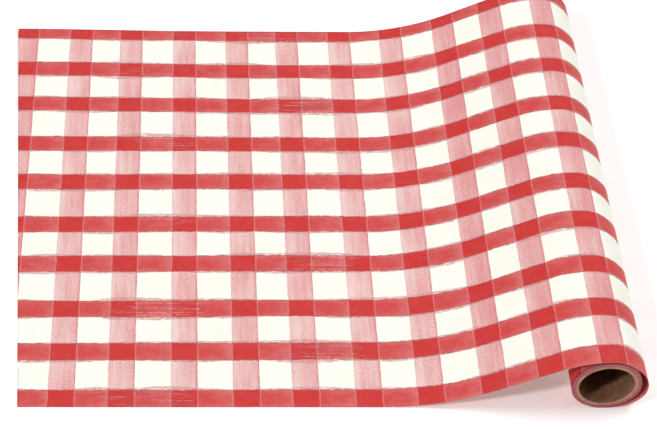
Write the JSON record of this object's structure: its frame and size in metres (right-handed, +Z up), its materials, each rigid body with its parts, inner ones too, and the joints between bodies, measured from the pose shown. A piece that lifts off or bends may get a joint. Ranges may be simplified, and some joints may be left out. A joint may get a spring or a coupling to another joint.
{
  "type": "paper table runner on a roll",
  "caption": "Painted check paper table cover lying part unrolled: flat free end, rising length, and a slack turn over the roll on its board core.",
  "frame": {"origin": "on the table surface, under the middle of the whole object's box", "axes": "+X along the runner towards the roll, +Y across the runner, +Z up"},
  "size_m": [0.5926, 0.508, 0.065],
  "materials": {
    "painted_paper": "matt ivory paper painted with a red and pink check",
    "wound_paper": "matt painted paper, wound tight, its edges showing at the ends of the roll",
    "core_board": "bare tan board",
    "core_liner": "bare brown kraft board"
  },
  "bodies": {
    "sheet": {"rising_length": "painted_paper", "loose_turn": "painted_paper"},
    "roll": {"core_inner_ply": "core_liner", "core_outer_ply": "core_board", "wound_turns": "wound_paper"},
    "free_end": {"free_length": "painted_paper"}
  },
  "joints": [
    {"name": "roll_spin", "type": "hinge", "parent": "sheet", "child": "roll", "pos_m": [0.25864, 0, 0.0315], "axis": [0, 1, 0], "continuous": true},
    {"name": "free_end_lift", "type": "hinge", "parent": "sheet", "child": "free_end", "pos_m": [0.0579, 0, 0.0001], "axis": [0, 1, 0], "range_deg": [0, 150]}
  ]
}
